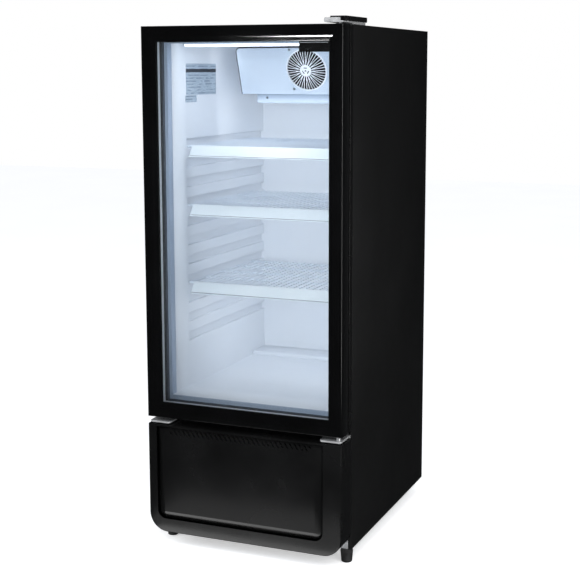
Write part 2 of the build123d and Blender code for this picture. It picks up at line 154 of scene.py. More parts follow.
def cloudy(name, look):  # patches of two colours under a fine relief
    made, start = newMaterial(name)
    cloud = noise(start, *look["cloud"])
    low, high = look.get("edges", (0.3, 0.7))
    colour = mixColour(start, spread(start, cloud, low, high), look["dark"], look["light"])
    height = noise(start, *look["grain"]) if "grain" in look else cloud
    coat(start, look, colour, roughness(start, look, cloud), height)
    return made


frameBlackLook = {"dark": tone(0.0008), "light": tone(0.0014, (1, 1, 1.1)), "rough": (0.1, 0.18),
                  "bump": 0.05, "relief": 0.08, "shine": 0.45}


def frameBlack():  # anodised door section, fine lengthwise drawing
    made, start = newMaterial("frameBlack")
    cloud = noise(start, 9, 4)
    grain = noise(start, 900, 2)
    colour = patches(start, cloud, frameBlackLook["dark"], frameBlackLook["light"])
    rough = roughness(start, frameBlackLook, cloud * 0.7 + grain * 0.3)
    coat(start, frameBlackLook, colour, rough, grain)
    return made


panelBlackLook = {"dark": tone(0.0085), "light": tone(0.0115), "scuff": tone(0.02),
                  "rough": (0.42, 0.54), "bump": 0.2, "relief": 0.2, "shine": 0.18}


def panelBlack():  # powder coat with orange peel and faint scuffs
    made, start = newMaterial("panelBlack")
    cloud = noise(start, 3.5, 5)
    peel = noise(start, 420, 2)
    streak = noise(start, 22, 6, (1, 6, 0.35), 0.65)
    scuff = spread(start, streak, 0.66, 0.74)
    colour = patches(start, cloud, panelBlackLook["dark"], panelBlackLook["light"])
    colour = mixColour(start, scuff * 0.35, colour, panelBlackLook["scuff"])
    rough = roughness(start, panelBlackLook, cloud) + scuff * 0.06
    coat(start, panelBlackLook, colour, rough, peel)
    return made


mouldedBlackLook = {"dark": tone(0.0022), "light": tone(0.004), "rough": (0.2, 0.3), "bump": 0.1,
                    "relief": 0.1, "shine": 0.42}


def mouldedBlack():  # moulded plastic with a fine spark texture
    made, start = newMaterial("mouldedBlack")
    cloud = noise(start, 7, 4)
    spark = start.node("TexVoronoi", {}, {"Vector": spotOn(start), "Scale": 900.0})
    colour = patches(start, cloud, mouldedBlackLook["dark"], mouldedBlackLook["light"])
    coat(start, mouldedBlackLook, colour, roughness(start, mouldedBlackLook, cloud), spark)
    return made


zincTint = (0.97, 1, 1.03)
zincSheetLook = {"dark": tone(0.34, zincTint), "light": tone(0.56, zincTint), "rough": (0.32, 0.5),
                 "bump": 0.15, "relief": 0.1, "metal": 1.0}


def zincSheet():  # galvanised steel with its spangle
    made, start = newMaterial("zincSheet")
    flakes = start.node("TexVoronoi", {}, {"Vector": spotOn(start), "Scale": 70.0}, output="Color")
    share = start.node("RGBToBW", {}, {0: flakes})
    colour = mixColour(start, share, zincSheetLook["dark"], zincSheetLook["light"])
    rough = spread(start, share, 0.2, 0.8, *zincSheetLook["rough"])
    coat(start, zincSheetLook, colour, rough, noise(start, 300))
    return made


foamLook = {"dark": (0.62, 0.5, 0.26, 1), "light": (0.8, 0.68, 0.4, 1), "rough": (0.8, 0.95),
            "bump": 0.6, "relief": 1.5, "shine": 0.2}


def insulation():
    made, start = newMaterial("insulation")
    cells = start.node("TexVoronoi", {}, {"Vector": spotOn(start), "Scale": 350.0})
    cloud = noise(start, 12, 4)
    colour = patches(start, cloud, foamLook["dark"], foamLook["light"])
    coat(start, foamLook, colour, spread(start, cloud, 0, 1, *foamLook["rough"]), cells)
    return made


stainColour = (0.5, 0.55, 0.62, 1)


def palePlastic(name, look):  # pale sheet or moulding, a little uneven and stained
    made, start = newMaterial(name)
    cloud = noise(start, 4, 4)
    fine = noise(start, 160, 3)
    colour = patches(start, cloud, look["cool"], look["warm"])
    stain = spread(start, noise(start, 18, 6, (1, 1, 0.5), 0.6), 0.62, 0.78)
    colour = mixColour(start, stain * 0.12, colour, stainColour)
    coat(start, look, colour, roughness(start, look, cloud * 0.6 + fine * 0.4), fine)
    return made


linerLook = {"cool": (0.85, 0.88, 0.93, 1), "warm": (0.89, 0.91, 0.945, 1), "rough": (0.30, 0.42),
             "bump": 0.03, "relief": 0.3, "shine": 0.35}
mouldedWhiteLook = {"cool": (0.50, 0.58, 0.69, 1), "warm": (0.60, 0.67, 0.76, 1), "rough": (0.32, 0.45),
                    "bump": 0.06, "relief": 0.15, "shine": 0.35}
railLook = {"cool": (0.78, 0.84, 0.88, 1), "warm": (0.86, 0.90, 0.92, 1), "rough": (0.28, 0.4),
            "bump": 0.08, "relief": 0.15, "shine": 0.4}
wireLook = {"cool": (0.76, 0.83, 0.92, 1), "warm": (0.84, 0.89, 0.95, 1), "rough": (0.22, 0.38),
            "bump": 0.3, "relief": 0.2, "shine": 0.5}
badgeLineLook = {"cool": (0.35, 0.37, 0.4, 1), "warm": (0.48, 0.5, 0.52, 1), "rough": (0.3, 0.4),
                 "bump": 0.05, "relief": 0.1, "shine": 0.4}
# blue-grey tone of the mouth trim: painted shade on pale plastic
trimShadeLook = {"cool": (0.40, 0.48, 0.60, 1), "warm": (0.48, 0.55, 0.66, 1), "rough": (0.35, 0.5),
            "bump": 0.05, "relief": 0.1, "shine": 0.35}


lampLook = {"glow": (0.93, 0.97, 1.0, 1), "edge": (0.72, 0.84, 1.0, 1), "rough": (0.25, 0.4),
            "strength": 3.5, "ribs": 260, "bump": 0.2, "relief": 0.3}


def lampDiffuser():  # ribbed prismatic cover lit from behind
    made, start = newMaterial("lampDiffuser")
    where = start.node("SeparateXYZ", {}, {0: spotOn(start)})
    ribs = start.node("Math", {"operation": "SINE"}, {0: where * lampLook["ribs"] * 6.28})
    cloud = noise(start, 14, 2)
    colour = mixColour(start, spread(start, ribs + cloud, -1, 2), lampLook["edge"], lampLook["glow"])
    normal = start.node("Bump", {}, {"Strength": lampLook["bump"], "Distance": lampLook["relief"] * mm,
                                     "Height": ribs})
    rough = spread(start, cloud, 0, 1, *lampLook["rough"])
    shader = start.node("BsdfPrincipled", {}, {
        "Base Color": colour, "Roughness": rough, "Normal": normal,
        "Emission Color": colour, "Emission Strength": lampLook["strength"]})
    start.node("OutputMaterial", {}, {"Surface": shader})
    return made


glassLook = {"tint": (0.975, 0.982, 0.985, 1), "ior": 1.45, "rough": (0.0, 0.03), "haze": 0.012}


def clearGlass():  # float glass: clear, with reflections and faint wipe marks
    made, start = newMaterial("clearGlass")
    wipes = noise(start, 5, 5, (1, 1, 2.5), 0.6)
    rough = spread(start, wipes, 0.45, 0.75, *glassLook["rough"])
    mirror = start.node("BsdfAnisotropic", {}, {"Color": (1, 1, 1, 1), "Roughness": rough})
    clear = start.node("BsdfTransparent", {}, {"Color": glassLook["tint"]})
    haze = spread(start, wipes, 0.5, 0.8, 0, glassLook["haze"])
    share = start.node("Fresnel", {}, {"IOR": glassLook["ior"]}) + haze
    shader = start.node("MixShader", {}, {0: share, 1: clear, 2: mirror})
    start.node("OutputMaterial", {}, {"Surface": shader})
    return made


spacerTint = (0.97, 1, 1.04)
spacerLook = {"dark": tone(0.9, spacerTint), "light": tone(0.96, spacerTint), "hole": tone(0.1),
              "rough": (0.3, 0.42), "bump": 0.1, "relief": 0.1, "metal": 0.0, "holes": 300.0}


def spacerMetal():  # bright aluminium with rows of tiny holes
    made, start = newMaterial("spacerMetal")
    cloud = noise(start, 30, 3)
    holes = start.node("TexVoronoi", {}, {"Vector": spotOn(start), "Scale": spacerLook["holes"],
                                          "Randomness": 0.0})
    pit = spread(start, holes, 0.12, 0.2)
    colour = patches(start, cloud, spacerLook["dark"], spacerLook["light"])
    colour = mixColour(start, (1 - pit) * 0.2, colour, spacerLook["hole"])
    coat(start, spacerLook, colour, roughness(start, spacerLook, cloud), pit)
    return made


screwTint = (0.95, 1, 1.08)
rubberLook = {"dark": (0.10, 0.115, 0.135, 1), "light": (0.17, 0.19, 0.22, 1), "cloud": (25, 4),
              "grain": (700, 2), "rough": (0.55, 0.7), "bump": 0.3, "relief": 0.2, "shine": 0.3}
footLook = {"dark": tone(0.012), "light": tone(0.03), "cloud": (60, 5), "edges": (0.35, 0.7),
            "grain": (600,), "rough": (0.5, 0.7), "bump": 0.35, "relief": 0.3, "shine": 0.4}
chromeLook = {"dark": tone(0.5), "light": tone(0.75), "cloud": (60, 3, (1, 12, 1)),
              "rough": (0.12, 0.24), "bump": 0.12, "relief": 0.1, "metal": 0.7}
screwLook = {"dark": tone(0.25, screwTint), "light": tone(0.42, screwTint), "cloud": (200, 3),
             "rough": (0.28, 0.45), "bump": 0.2, "relief": 0.1, "metal": 1.0}
coilLook = {"dark": tone(0.4), "light": tone(0.7), "cloud": (40, 4, (6, 1, 1)),
            "rough": (0.3, 0.5), "bump": 0.3, "relief": 0.2, "metal": 1.0}
copperLook = {"dark": (0.35, 0.12, 0.05, 1), "light": (0.75, 0.36, 0.2, 1), "cloud": (35, 5),
              "edges": (0.35, 0.65), "grain": (200,), "rough": (0.45, 0.2), "bump": 0.15, "relief": 0.2,
              "metal": 1.0}
castLook = {"dark": tone(0.012), "light": tone(0.03), "cloud": (25, 5), "grain": (350,),
            "rough": (0.3, 0.5), "bump": 0.3, "relief": 0.3, "shine": 0.45}
badgeLook = {"dark": tone(0.004), "light": tone(0.008), "cloud": (40, 3), "rough": (0.15, 0.28),
             "bump": 0.05, "relief": 0.1, "shine": 0.45}


labelLook = {"paper": (0.50, 0.58, 0.66, 1), "grey": (0.42, 0.5, 0.58, 1), "band": (0.02, 0.022, 0.03, 1),
             "ink": (0.1, 0.13, 0.17, 1), "bandAt": (1.424, 1.434), "rowPitch": 0.009, "rough": (0.35, 0.5),
             "bump": 0.05, "relief": 0.1, "shine": 0.35}


def blankLabel():  # pale film with a dark band and plain grey rows, no text
    made, start = newMaterial("blankLabel")
    where = start.node("SeparateXYZ", {}, {0: spotOn(start)}, output="Z")
    low, high = labelLook["bandAt"]
    band = (where > low) * (where < high)
    wave = start.node("Math", {"operation": "SINE"}, {0: where * (2 * pi / labelLook["rowPitch"])})
    dashes = noise(start, 60, 2, (1, 0.6, 2.5))
    rows = spread(start, wave, 0.1, 0.5) * spread(start, dashes, 0.46, 0.52) * (1 - band)
    cloud = noise(start, 30, 3)
    colour = mixColour(start, spread(start, cloud, 0.2, 0.8), labelLook["paper"], labelLook["grey"])
    colour = mixColour(start, rows * 0.55, colour, labelLook["ink"])
    colour = mixColour(start, band, colour, labelLook["band"])
    coat(start, labelLook, colour, roughness(start, labelLook, cloud), cloud)
    return made


finishes = {
    "black_gloss": frameBlack(),
    "black_satin": panelBlack(),
    "black_plastic": mouldedBlack(),
    "galvanised": zincSheet(),
    "foam": insulation(),
    "white_liner": palePlastic("linerPlastic", linerLook),
    "white_plastic": palePlastic("mouldedWhite", mouldedWhiteLook),
    "white_wire": palePlastic("wireCoat", wireLook),
    "diffuser": lampDiffuser(),
    "glass": clearGlass(),
    "spacer_silver": spacerMetal(),
    "gasket_grey": cloudy("sealRubber", rubberLook),
    "chrome_steel": cloudy("platedSteel", chromeLook),
    "rubber_black": cloudy("footRubber", footLook),
    "coil_aluminium": cloudy("coilAluminium", coilLook),
    "copper": cloudy("copperTube", copperLook),
    "compressor_black": cloudy("castBlack", castLook),
    "label": blankLabel(),
    "badge": cloudy("badgeBlack", badgeLook),
    "zinc_screw": cloudy("screwZinc", screwLook),
}
railFinish = palePlastic("railPlastic", railLook)
badgeLineFinish = palePlastic("badgeLine", badgeLineLook)
# mouth trim finish: its blue-grey colour is painted shade
trimShadeFinish = palePlastic("trimPaintedShade", trimShadeLook)
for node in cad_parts.values():
    for slot in node.material_slots:
        slot.material = finishes[slot.material.name.split(".")[0]]
print("finishes mixed")


# small tools for shaping

def edgesOf(points):
    return {edge for point in points for edge in point.link_edges}


def roundEdges(bm, edges, width, segments=3):
    bmesh.ops.bevel(bm, geom=list(edges), offset=width, offset_type="OFFSET", segments=segments,
                    profile=0.5, affect="EDGES", material=-1, clamp_overlap=True)


def sharpEdges(bm, angle=25):
    return [edge for edge in bm.edges
            if len(edge.link_faces) == 2 and edge.calc_face_angle(0) > radians(angle)]


def crossing(edges, axis, least=0.1):  # the edges that run along an axis
    return [edge for edge in edges if abs(edge.verts[0].co[axis] - edge.verts[1].co[axis]) > least]


def openSide(bm, faces):
    bmesh.ops.delete(bm, geom=faces, context="FACES_ONLY")


def turnTowards(bm, way, rank=lambda face: face.calc_area()):  # so that a skin's main face looks one way
    bmesh.ops.recalc_face_normals(bm, faces=bm.faces)
    if max(bm.faces, key=rank).normal.dot(Vector(way)) < 0:
        bmesh.ops.reverse_faces(bm, faces=bm.faces)


def movedBy(grown):  # the corners that an extrusion made
    return [part for part in grown["geom"] if isinstance(part, bmesh.types.BMVert)]


def addBlock(bm, low, high, rounding=0.0, segments=3):
    made = bmesh.ops.create_cube(bm, size=1)["verts"]
    size = Vector(high) - Vector(low)
    bmesh.ops.scale(bm, vec=size, verts=made)
    bmesh.ops.translate(bm, vec=(Vector(low) + Vector(high)) / 2, verts=made)
    if rounding:
        roundEdges(bm, edgesOf(made), rounding, segments)
    return made


def addOutline(bm, points, push):  # a flat outline pushed along a vector into a solid
    corners = [bm.verts.new(point) for point in points]
    grown = bmesh.ops.extrude_face_region(bm, geom=[bm.faces.new(corners)])
    moved = movedBy(grown)
    bmesh.ops.translate(bm, vec=push, verts=moved)
    return corners, moved


def addTurned(bm, profile, centre, steps=40):  # (radius, height) points spun about an upright axis
    chain = [bm.verts.new((centre[0] + radius, centre[1], centre[2] + up)) for radius, up in profile]
    edges = [bm.edges.new(pair) for pair in zip(chain, chain[1:])]
    bmesh.ops.spin(bm, geom=chain + edges, cent=centre, axis=(0, 0, 1), angle=2 * pi, steps=steps,
                   use_merge=True)
    bmesh.ops.remove_doubles(bm, verts=bm.verts, dist=0.001)


def growFaces(bm, faces, push):  # moves part of a skin out or in, with new walls round it
    grown = bmesh.ops.extrude_face_region(bm, geom=faces)
    moved = movedBy(grown)
    bmesh.ops.delete(bm, geom=[face for face in faces if face.is_valid], context="FACES_ONLY")
    bmesh.ops.translate(bm, vec=push, verts=moved)


def cutAlong(bm, across, places):  # cuts the whole skin at several places along one axis
    for place in places:
        bmesh.ops.bisect_plane(bm, geom=list(bm.verts) + list(bm.edges) + list(bm.faces),
                               plane_co=across * place, plane_no=across)


def finishPiece(name, bm, body, slot, material=None, replaced=(), smooth=32, outward=True):
    bm.normal_update()
    if outward:
        bmesh.ops.recalc_face_normals(bm, faces=bm.faces)
    bm.transform(toFrame)
    mesh = bpy.data.meshes.new(name)
    bm.to_mesh(mesh)
    bm.free()
    mesh.shade_smooth()
    mesh.set_sharp_from_angle(angle=radians(smooth))
    mesh.materials.append(material or finishes[slot])
    piece = bpy.data.objects.new(name, mesh)
    bpy.context.scene.collection.objects.link(piece)
    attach(piece, body)
    if replaced:
        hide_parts(*replaced)
    return piece


def addWall(piece, thickness):  # gives a skin its thickness, behind the faces that show
    wall = piece.modifiers.new("wall", "SOLIDIFY")
    wall.thickness = thickness * mm
    wall.offset = -1
    wall.use_even_offset = True


def settle(piece):  # makes the modifiers part of the mesh
    view = bpy.context.evaluated_depsgraph_get()
    mesh = bpy.data.meshes.new_from_object(piece.evaluated_get(view))
    piece.modifiers.clear()
    piece.data = mesh


def cutAway(piece, bm):  # takes the shapes in bm out of a piece
    bm.normal_update()
    bmesh.ops.recalc_face_normals(bm, faces=bm.faces)
    bm.transform(toFrame)
    mesh = bpy.data.meshes.new("cutter")
    bm.to_mesh(mesh)
    bm.free()
    cutter = bpy.data.objects.new("cutter", mesh)
    bpy.context.scene.collection.objects.link(cutter)
    cut = piece.modifiers.new("cut", "BOOLEAN")
    cut.operation = "DIFFERENCE"
    cut.object = cutter
    bpy.context.view_layer.update()
    settle(piece)
    bpy.data.objects.remove(cutter)
    piece.data.set_sharp_from_angle(angle=radians(32))


def softened(node, body, slot, width, segments=2):  # a merged copy of a CAD node, its edges rounded
    bm = bmesh.new()
    bm.from_mesh(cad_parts[node].data)
    bmesh.ops.remove_doubles(bm, verts=bm.verts, dist=0.00002)
    bmesh.ops.dissolve_limit(bm, angle_limit=radians(0.5), verts=bm.verts, edges=bm.edges)
    bm.transform(toFrame.inverted())
    piece = finishPiece(node + "Soft", bm, body, slot, None, (node,), 40, False)
    rounding = piece.modifiers.new("rounding", "BEVEL")
    rounding.width = width * mm
    rounding.segments = segments
    rounding.limit_method = "ANGLE"
    rounding.angle_limit = radians(40)
    rounding.use_clamp_overlap = True


# door

door = {"section": [(0, 2), (2, 0), (29, 0), (34, 4), (44, 9), (44, 10), (36, 10), (36, 34), (42, 34),
                    (42, 46), (39, 50), (0, 50)],
        "trim": [(42.1, 34.1), (44, 34.1), (44, 46.2), (40.4, 49.8), (39.1, 49.8), (42.1, 46)],
        "mitreGap": 0.12, "rounding": 0.7}


def addBar(bm, box, side, section):  # one mitred bar of a ring; section points are (inset, depth)
    (left, _, low), (right, _, high) = box
    gap = door["mitreGap"]
    points = {"left": lambda a, d: (left + a, d, low + a + gap),
              "right": lambda a, d: (right - a, d, low + a + gap),
              "bottom": lambda a, d: (left + a + gap, d, low + a),
              "top": lambda a, d: (left + a + gap, d, high - a)}[side]
    upright = side in ("left", "right")
    corners, moved = addOutline(bm, [points(a, d) for a, d in section], (0, 0, 0))
    rims = {edge for edge in edgesOf(moved) if any(end in corners for end in edge.verts)}
    for point in moved:
        if upright:
            point.co.z = low + high - point.co.z
        else:
            point.co.x = left + right - point.co.x
    return rims


def doorFrame():
    low = nodeBox("door_stile_left")[0]
    high = nodeBox("door_stile_right")[1]
    for side, node in (("left", "door_stile_left"), ("right", "door_stile_right"),
                       ("top", "door_rail_top"), ("bottom", "door_rail_bottom")):
        bm = bmesh.new()
        roundEdges(bm, addBar(bm, (low, high), side, door["section"]), door["rounding"], 2)
        finishPiece("doorBar" + side.capitalize(), bm, "door", "black_gloss", None, (node,), 28)
    bm = bmesh.new()
    for side in ("left", "right", "top", "bottom"):
        addBar(bm, (low, high), side, door["trim"])
    finishPiece("doorInnerTrim", bm, "door", "rubber_black")


glazing = {"edge": 0.6, "sealant": 0.5, "sealantWide": 7.1, "spacer": 6.5, "spacerBend": 0.8}


def addRing(bm, box, section):  # a closed mitred ring; section points are (inset, depth)
    (left, _, low), (right, _, high) = box
    loops = []
    corners = ((left, 1, low, 1), (right, -1, low, 1), (right, -1, high, -1), (left, 1, high, -1))
    for x, sideways, z, up in corners:
        ring = [bm.verts.new((x + sideways * a, d, z + up * a)) for a, d in section]
        loops.append([bm.edges.new(pair) for pair in zip(ring, ring[1:] + ring[:1])])
    for first, second in zip(loops, loops[1:] + loops[:1]):
        bmesh.ops.bridge_loops(bm, edges=first + second)


def doorGlazing():
    for name, node in (("paneOuter", "glass_outer"), ("paneInner", "glass_inner")):
        bm = bmesh.new()
        low, high = nodeBox(node)
        addBlock(bm, low, high, glazing["edge"], 2)
        finishPiece(name, bm, "door", "glass", None, (node,))
    low, high = nodeBox("glass_spacer")
    wide, bend = glazing["spacer"], glazing["spacerBend"]
    thick, reach = glazing["sealant"], glazing["sealantWide"]
    first, last = low.y + thick, high.y - thick
    bm = bmesh.new()
    addRing(bm, (low, high), [(0, first), (wide - bend, first), (wide, first + bend), (wide, last - bend),
                              (wide - bend, last), (0, last)])
    finishPiece("paneSpacer", bm, "door", "spacer_silver", None, ("glass_spacer",))
    bm = bmesh.new()
    for near, far in ((low.y, first), (last, high.y)):
        addRing(bm, (low, high), [(0, near), (reach, near), (reach, far), (0, far)])
    finishPiece("paneSealant", bm, "door", "rubber_black")


badge = {"corner": 1.2, "lineInset": 2.6, "lineWidth": 0.9, "lineDepth": (-0.15, 0.05)}


def badgePlate():
    low, high = nodeBox("badge_plate")
    bm = bmesh.new()
    made = addBlock(bm, low, high)
    roundEdges(bm, crossing(edgesOf(made), 1), badge["corner"])
    finishPiece("badgeBlank", bm, "door", "badge", None, ("badge_plate",))
    inset, wide = badge["lineInset"], badge["lineWidth"]
    near, far = badge["lineDepth"]
    bm = bmesh.new()
    addBlock(bm, (low.x + inset, low.y + near, high.z - inset - wide),
             (high.x - inset, low.y + far, high.z - inset), 0.05, 1)
    finishPiece("badgeLine", bm, "door", "badge", badgeLineFinish)


seal = {"profile": [(0, 50.2), (4, 50.2), (5.5, 52.2), (7, 50.4), (8.5, 52.4), (10, 50.4), (17, 50.2),
                    (18, 51.4), (18, 55), (16.6, 57), (17.6, 58.6), (16.4, 59.7), (3, 59.7),
                    (0.6, 58.4), (1.8, 56.6), (0, 54.6)]}


def doorSeal():  # bellows seal with its magnet pocket
    low, high = nodeBox("door_gasket")
    bm = bmesh.new()
    addRing(bm, (low, high), seal["profile"])
    finishPiece("doorSeal", bm, "door", "gasket_grey", None, ("door_gasket",), 50)


doorFrame()
doorGlazing()
badgePlate()
doorSeal()
print("door built")


# cabinet shell

shell = {"fold": 2.2, "hem": 10, "sheet": 1}


def sidePanels():  # a folded sheet with its front edge turned in
    for name, node, sign in (("sideSheetLeft", "side_panel_left", -1),
                             ("sideSheetRight", "side_panel_right", 1)):
        low, high = nodeBox(node)
        outer = sign * max(abs(low.x), abs(high.x))
        bm = bmesh.new()
        corners = ((outer - sign * shell["hem"], low.y), (outer, low.y), (outer, high.y))
        chain = [bm.verts.new((x, d, low.z)) for x, d in corners]
        edges = [bm.edges.new(pair) for pair in zip(chain, chain[1:])]
        grown = bmesh.ops.extrude_edge_only(bm, edges=edges)
        moved = movedBy(grown)
        bmesh.ops.translate(bm, vec=(0, 0, high.z - low.z), verts=moved)
        roundEdges(bm, sharpEdges(bm), shell["fold"], 4)
        turnTowards(bm, (sign, 0, 0))
        piece = finishPiece(name, bm, "cabinet", "black_satin", None, (node,), 40, False)
        addWall(piece, shell["sheet"])


liner = {"rounding": 2.2, "wall": 3, "grooveDeep": 10, "grooveHeight": 27, "groovePitch": 59.5,
         "grooveCount": 11, "topLedge": 1198, "grooveStart": 177, "half": 258, "front": 60, "back": 742,
         "floor": 460, "ceiling": 1508, "stepFrom": 640, "stepRise": 12, "stepGap": 0.2, "stepEdge": 3}


def innerLiner():  # the formed room with its shelf grooves
    ledges = [liner["topLedge"] - liner["groovePitch"] * step for step in range(liner["grooveCount"])]
    half, back = liner["half"], liner["back"]
    bm = bmesh.new()
    addBlock(bm, (-half, liner["front"], liner["floor"]), (half, back, liner["ceiling"]))
    openSide(bm, [face for face in bm.faces if face.normal.y < -0.9])
    cutAlong(bm, Vector((0, 0, 1)), [z for ledge in ledges for z in (ledge, ledge + liner["grooveHeight"])])
    cutAlong(bm, Vector((0, 1, 0)), [liner["grooveStart"]])
    for sign in (-1, 1):
        faces = []
        for face in bm.faces:
            spot = face.calc_center_median()
            deep = spot.y > liner["grooveStart"] and sign * spot.x > half - 0.01
            if deep and any(ledge < spot.z < ledge + liner["grooveHeight"] for ledge in ledges):
                faces.append(face)
        growFaces(bm, faces, (sign * liner["grooveDeep"], 0, 0))
    bmesh.ops.remove_doubles(bm, verts=bm.verts, dist=0.001)
    roundEdges(bm, sharpEdges(bm), liner["rounding"], 3)
    turnTowards(bm, (0, 0, 1), lambda face: -face.calc_center_median().z)
    piece = finishPiece("linerRoom", bm, "cabinet", "white_liner", None, ("inner_liner",), 40, False)
    addWall(piece, liner["wall"])
    bm = bmesh.new()
    gap = liner["stepGap"]
    addBlock(bm, (gap - half, liner["stepFrom"], liner["floor"] - 1),
             (half - gap, back - gap, liner["floor"] + liner["stepRise"]), liner["stepEdge"])
    finishPiece("linerStep", bm, "cabinet", "white_liner")


mouth = {"face": (58.6, 60.3), "back": 84, "thick": 1.2, "left": -267.4, "right": 262, "low": 447,
         "high": 1512.3, "edge": 0.3, "returnEdge": 0.4, "overlap": 0.1}


def mouthTrim():  # strip round the opening, with a return along both sides; its blue-grey colour is painted shade
    first, last = mouth["face"]
    thick, reach = mouth["thick"], liner["half"] + mouth["overlap"]
    inner = liner["half"] - thick
    floor, ceiling = liner["floor"] + thick, liner["ceiling"] - thick
    bm = bmesh.new()
    for near, far in ((mouth["left"], -inner), (inner, mouth["right"])):
        addBlock(bm, (near, first, floor), (far, last, ceiling), mouth["edge"], 1)
    for low, high in ((mouth["low"], floor), (ceiling, mouth["high"])):
        addBlock(bm, (mouth["left"], first, low), (mouth["right"], last, high), mouth["edge"], 1)
    for near, far in ((-reach, -inner), (inner, reach)):
        addBlock(bm, (near, last, floor), (far, mouth["back"], ceiling), mouth["returnEdge"], 2)
    finishPiece("mouthTrim", bm, "cabinet", "white_plastic", trimShadeFinish)


def cabinetShell():
    sidePanels()
    innerLiner()
    mouthTrim()
    softened("front_frame", "cabinet", "black_plastic", 2.0, 3)
    softened("top_panel", "cabinet", "black_satin", 0.5)
    softened("back_panel", "cabinet", "black_satin", 0.4)


cabinetShell()
print("cabinet shell built")


# front panel over the machine compartment

kick = {"radius": 58, "arc": 12, "wall": 3, "edge": 4.5, "gap": 3, "border": 20, "rise": 8, "back": 9,
        "skirt": 5, "insertEdge": 0.9, "insertCorner": 24, "cornerSteps": 8, "insertWall": 2.4,
        "hingeRoom": (238, 307), "hingeRoomDepth": (79, 90), "hingeRoomLow": 370,
        "louvreRows": (358, 366), "louvreCount": 30, "louvrePitch": 15, "louvreFirst": -232,
        "louvre": (9, 20, 3), "louvreDepth": 8, "louvreTurn": 35,
        "clips": (-200, 170), "clip": 24, "clipDepth": (10, 34), "clipHeight": (330, 333), "clipEdge": 0.8}


def roundedOutline(low, high, grow, depth):  # the panel's outline, its two lower corners rounded
    bend = kick["insertCorner"] + grow
    points = []
    for x, first in ((low.x - grow + bend, 180), (high.x + grow - bend, 270)):
        for step in range(kick["cornerSteps"] + 1):
            turn = radians(first + 90 * step / kick["cornerSteps"])
            points.append((x + bend * cos(turn), depth, low.z - grow + bend + bend * sin(turn)))
    return points + [(high.x + grow, depth, high.z + grow), (low.x - grow, depth, high.z + grow)]


def kickFrame():
    low, high = nodeBox("kick_frame")
    lowHole, highHole = nodeBox("kick_insert")
    bm = bmesh.new()
    outline = [(low.x, 0, high.z), (low.x, 0, low.z), (high.x, 0, low.z), (high.x, 0, high.z)]
    _, moved = addOutline(bm, outline, (0, high.y, 0))
    turned = crossing(edgesOf(moved), 1, 1)
    roundEdges(bm, [edge for edge in turned if edge.verts[0].co.z < low.z + 1], kick["radius"], kick["arc"])
    bmesh.ops.recalc_face_normals(bm, faces=bm.faces)
    openSide(bm, [face for face in bm.faces if face.normal.y > 0.9])
    rim = [edge for edge in sharpEdges(bm) if all(end.co.y < 0.1 for end in edge.verts)]
    roundEdges(bm, rim, kick["edge"], 4)
    piece = finishPiece("kickSurround", bm, "cabinet", "black_plastic", None, ("kick_frame",), 32, False)
    addWall(piece, kick["wall"])
    settle(piece)
    bm = bmesh.new()
    addOutline(bm, roundedOutline(lowHole, highHole, kick["gap"], -20), (0, 40, 0))
    front, back = kick["hingeRoomDepth"]
    for sign in (-1, 1):  # room for the hinge plates
        near, far = sorted(sign * x for x in kick["hingeRoom"])
        addBlock(bm, (near, front, kick["hingeRoomLow"]), (far, back, high.z + 5))
    cutAway(piece, bm)


def kickInsert():
    low, high = nodeBox("kick_insert")
    back = kick["back"]
    bm = bmesh.new()
    face = bm.faces.new([bm.verts.new(point) for point in roundedOutline(low, high, 0, back)])
    bm.normal_update()
    bmesh.ops.inset_individual(bm, faces=[face], thickness=kick["border"], depth=kick["rise"])
    rim = [edge for edge in bm.edges if len(edge.link_faces) == 1]
    grown = bmesh.ops.extrude_edge_only(bm, edges=rim)
    bmesh.ops.translate(bm, vec=(0, kick["skirt"], 0), verts=movedBy(grown))
    roundEdges(bm, sharpEdges(bm, 12), kick["insertEdge"], 2)
    turnTowards(bm, (0, -1, 0))
    piece = finishPiece("kickPanel", bm, "cabinet", "black_plastic", None, ("kick_insert",), 32, False)
    addWall(piece, kick["insertWall"])
    settle(piece)
    bm = bmesh.new()
    half = Vector(kick["louvre"]) / 2
    lean = Matrix.Rotation(radians(kick["louvreTurn"]), 3, "Y")
    for row, z in enumerate(kick["louvreRows"]):
        for i in range(kick["louvreCount"]):
            x = kick["louvreFirst"] + (i + row / 2) * kick["louvrePitch"]
            middle = Vector((x, kick["louvreDepth"], z))
            made = addBlock(bm, middle - half, middle + half)
            bmesh.ops.rotate(bm, verts=made, cent=middle, matrix=lean)
    cutAway(piece, bm)
    bm = bmesh.new()
    reach = kick["clip"] / 2
    (near, far), (low, high) = kick["clipDepth"], kick["clipHeight"]
    for x in kick["clips"]:  # spring clips that hold the panel
        addBlock(bm, (x - reach, near, low), (x + reach, far, high), kick["clipEdge"])
    finishPiece("kickClips", bm, "cabinet", "black_plastic")


kickFrame()
kickInsert()
print("front panel built")


# cold air unit

cover = {"left": -185, "right": 257, "topDepth": 368, "lowDepth": 418, "low": 1356, "high": 1507,
         "back": 741, "wall": 2, "corner": 14, "edge": 2, "drop": 9, "fanX": 45, "fanHole": 63,
         "slotCount": 12, "slotFirst": 50, "slotPitch": 28, "slotWide": 14, "slotDepth": (640, 700),
         # the seam is a dark strip that paints the shade in the gap round the cover
         "shadeSeam": (-1.2, 1.9), "shadeSeamDepth": (-5, -1), "shadeSeamSteps": 8}
slopeTurn = atan2(cover["lowDepth"] - cover["topDepth"], cover["high"] - cover["low"])
slopeMiddle = Vector((0, (cover["topDepth"] + cover["lowDepth"]) / 2, (cover["low"] + cover["high"]) / 2))


def onSlope(x, up=0.0):  # carries a shape drawn about z onto the cover's sloping face
    across = Vector((1, 0, 0))
    rise = Vector((0, -sin(slopeTurn), cos(slopeTurn)))
    outward = Vector((0, -cos(slopeTurn), -sin(slopeTurn)))
    spot = slopeMiddle + across * x + rise * up
    turn = Matrix((across, rise, outward)).transposed().to_4x4()
    return Matrix.Translation(spot) @ turn


